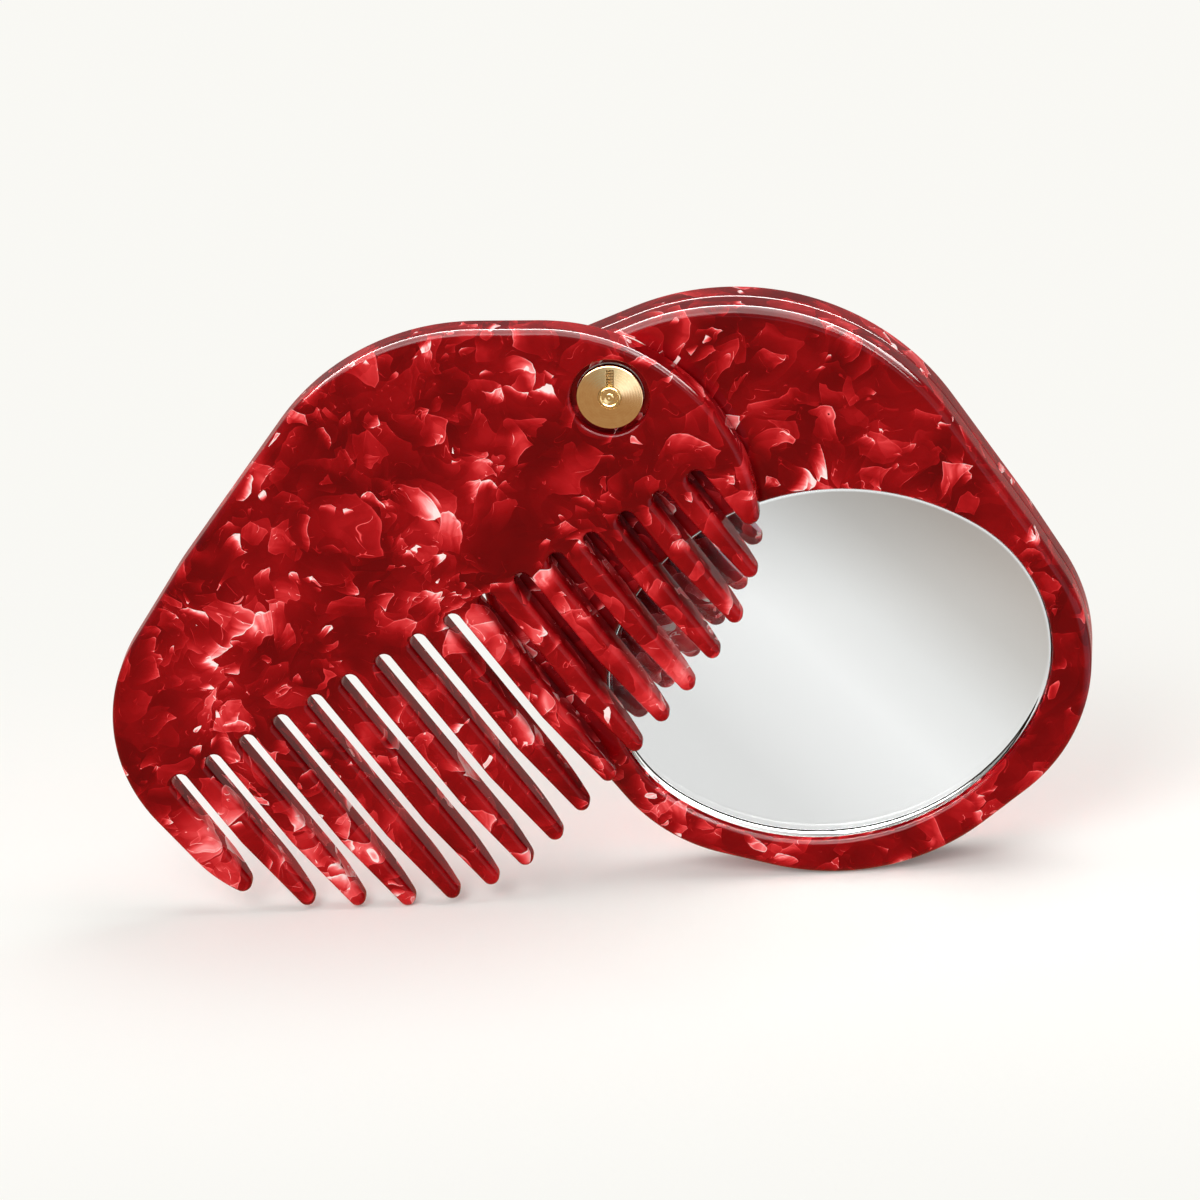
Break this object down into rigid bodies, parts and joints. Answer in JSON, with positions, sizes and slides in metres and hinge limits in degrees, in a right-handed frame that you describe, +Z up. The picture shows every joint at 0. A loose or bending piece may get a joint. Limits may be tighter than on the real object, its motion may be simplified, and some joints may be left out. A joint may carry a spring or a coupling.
{
  "type": "pocket mirror comb",
  "caption": "Folding pocket comb that turns on one brass rivet over an oval mirror in a two-layer acetate case.",
  "frame": {"origin": "under the middle of the opened part, on the surface that it stands on", "axes": "+X to the right along the long side, +Y from the comb to the rear of the mirror case, +Z up; the plates stand on edge"},
  "size_m": [0.1282, 0.0138, 0.0801],
  "materials": {
    "acetate": "polished, marbled with pearl",
    "glass": "clear",
    "silvering": "mirror",
    "foam": "matte",
    "brass": "turned, polished",
    "nylon": "matte",
    "spring_steel": "satin"
  },
  "bodies": {
    "mirror_case": {"front_frame": "acetate", "back_plate": "acetate", "mirror_glass": "glass", "mirror_silvering": "silvering", "mirror_pad": "foam", "front_disc": "brass", "rivet": "brass", "pivot_sleeve": "brass", "spacer_washer": "nylon", "disc_spring": "spring_steel", "rear_disc": "brass"},
    "comb": {"comb_plate": "acetate", "comb_washer": "nylon"}
  },
  "joints": [
    {"name": "comb_pivot", "type": "hinge", "parent": "mirror_case", "child": "comb", "pos_m": [0.00464, 0, 0.07007], "axis": [0, -1, 0], "range_deg": [-108.7, 71.3]}
  ]
}
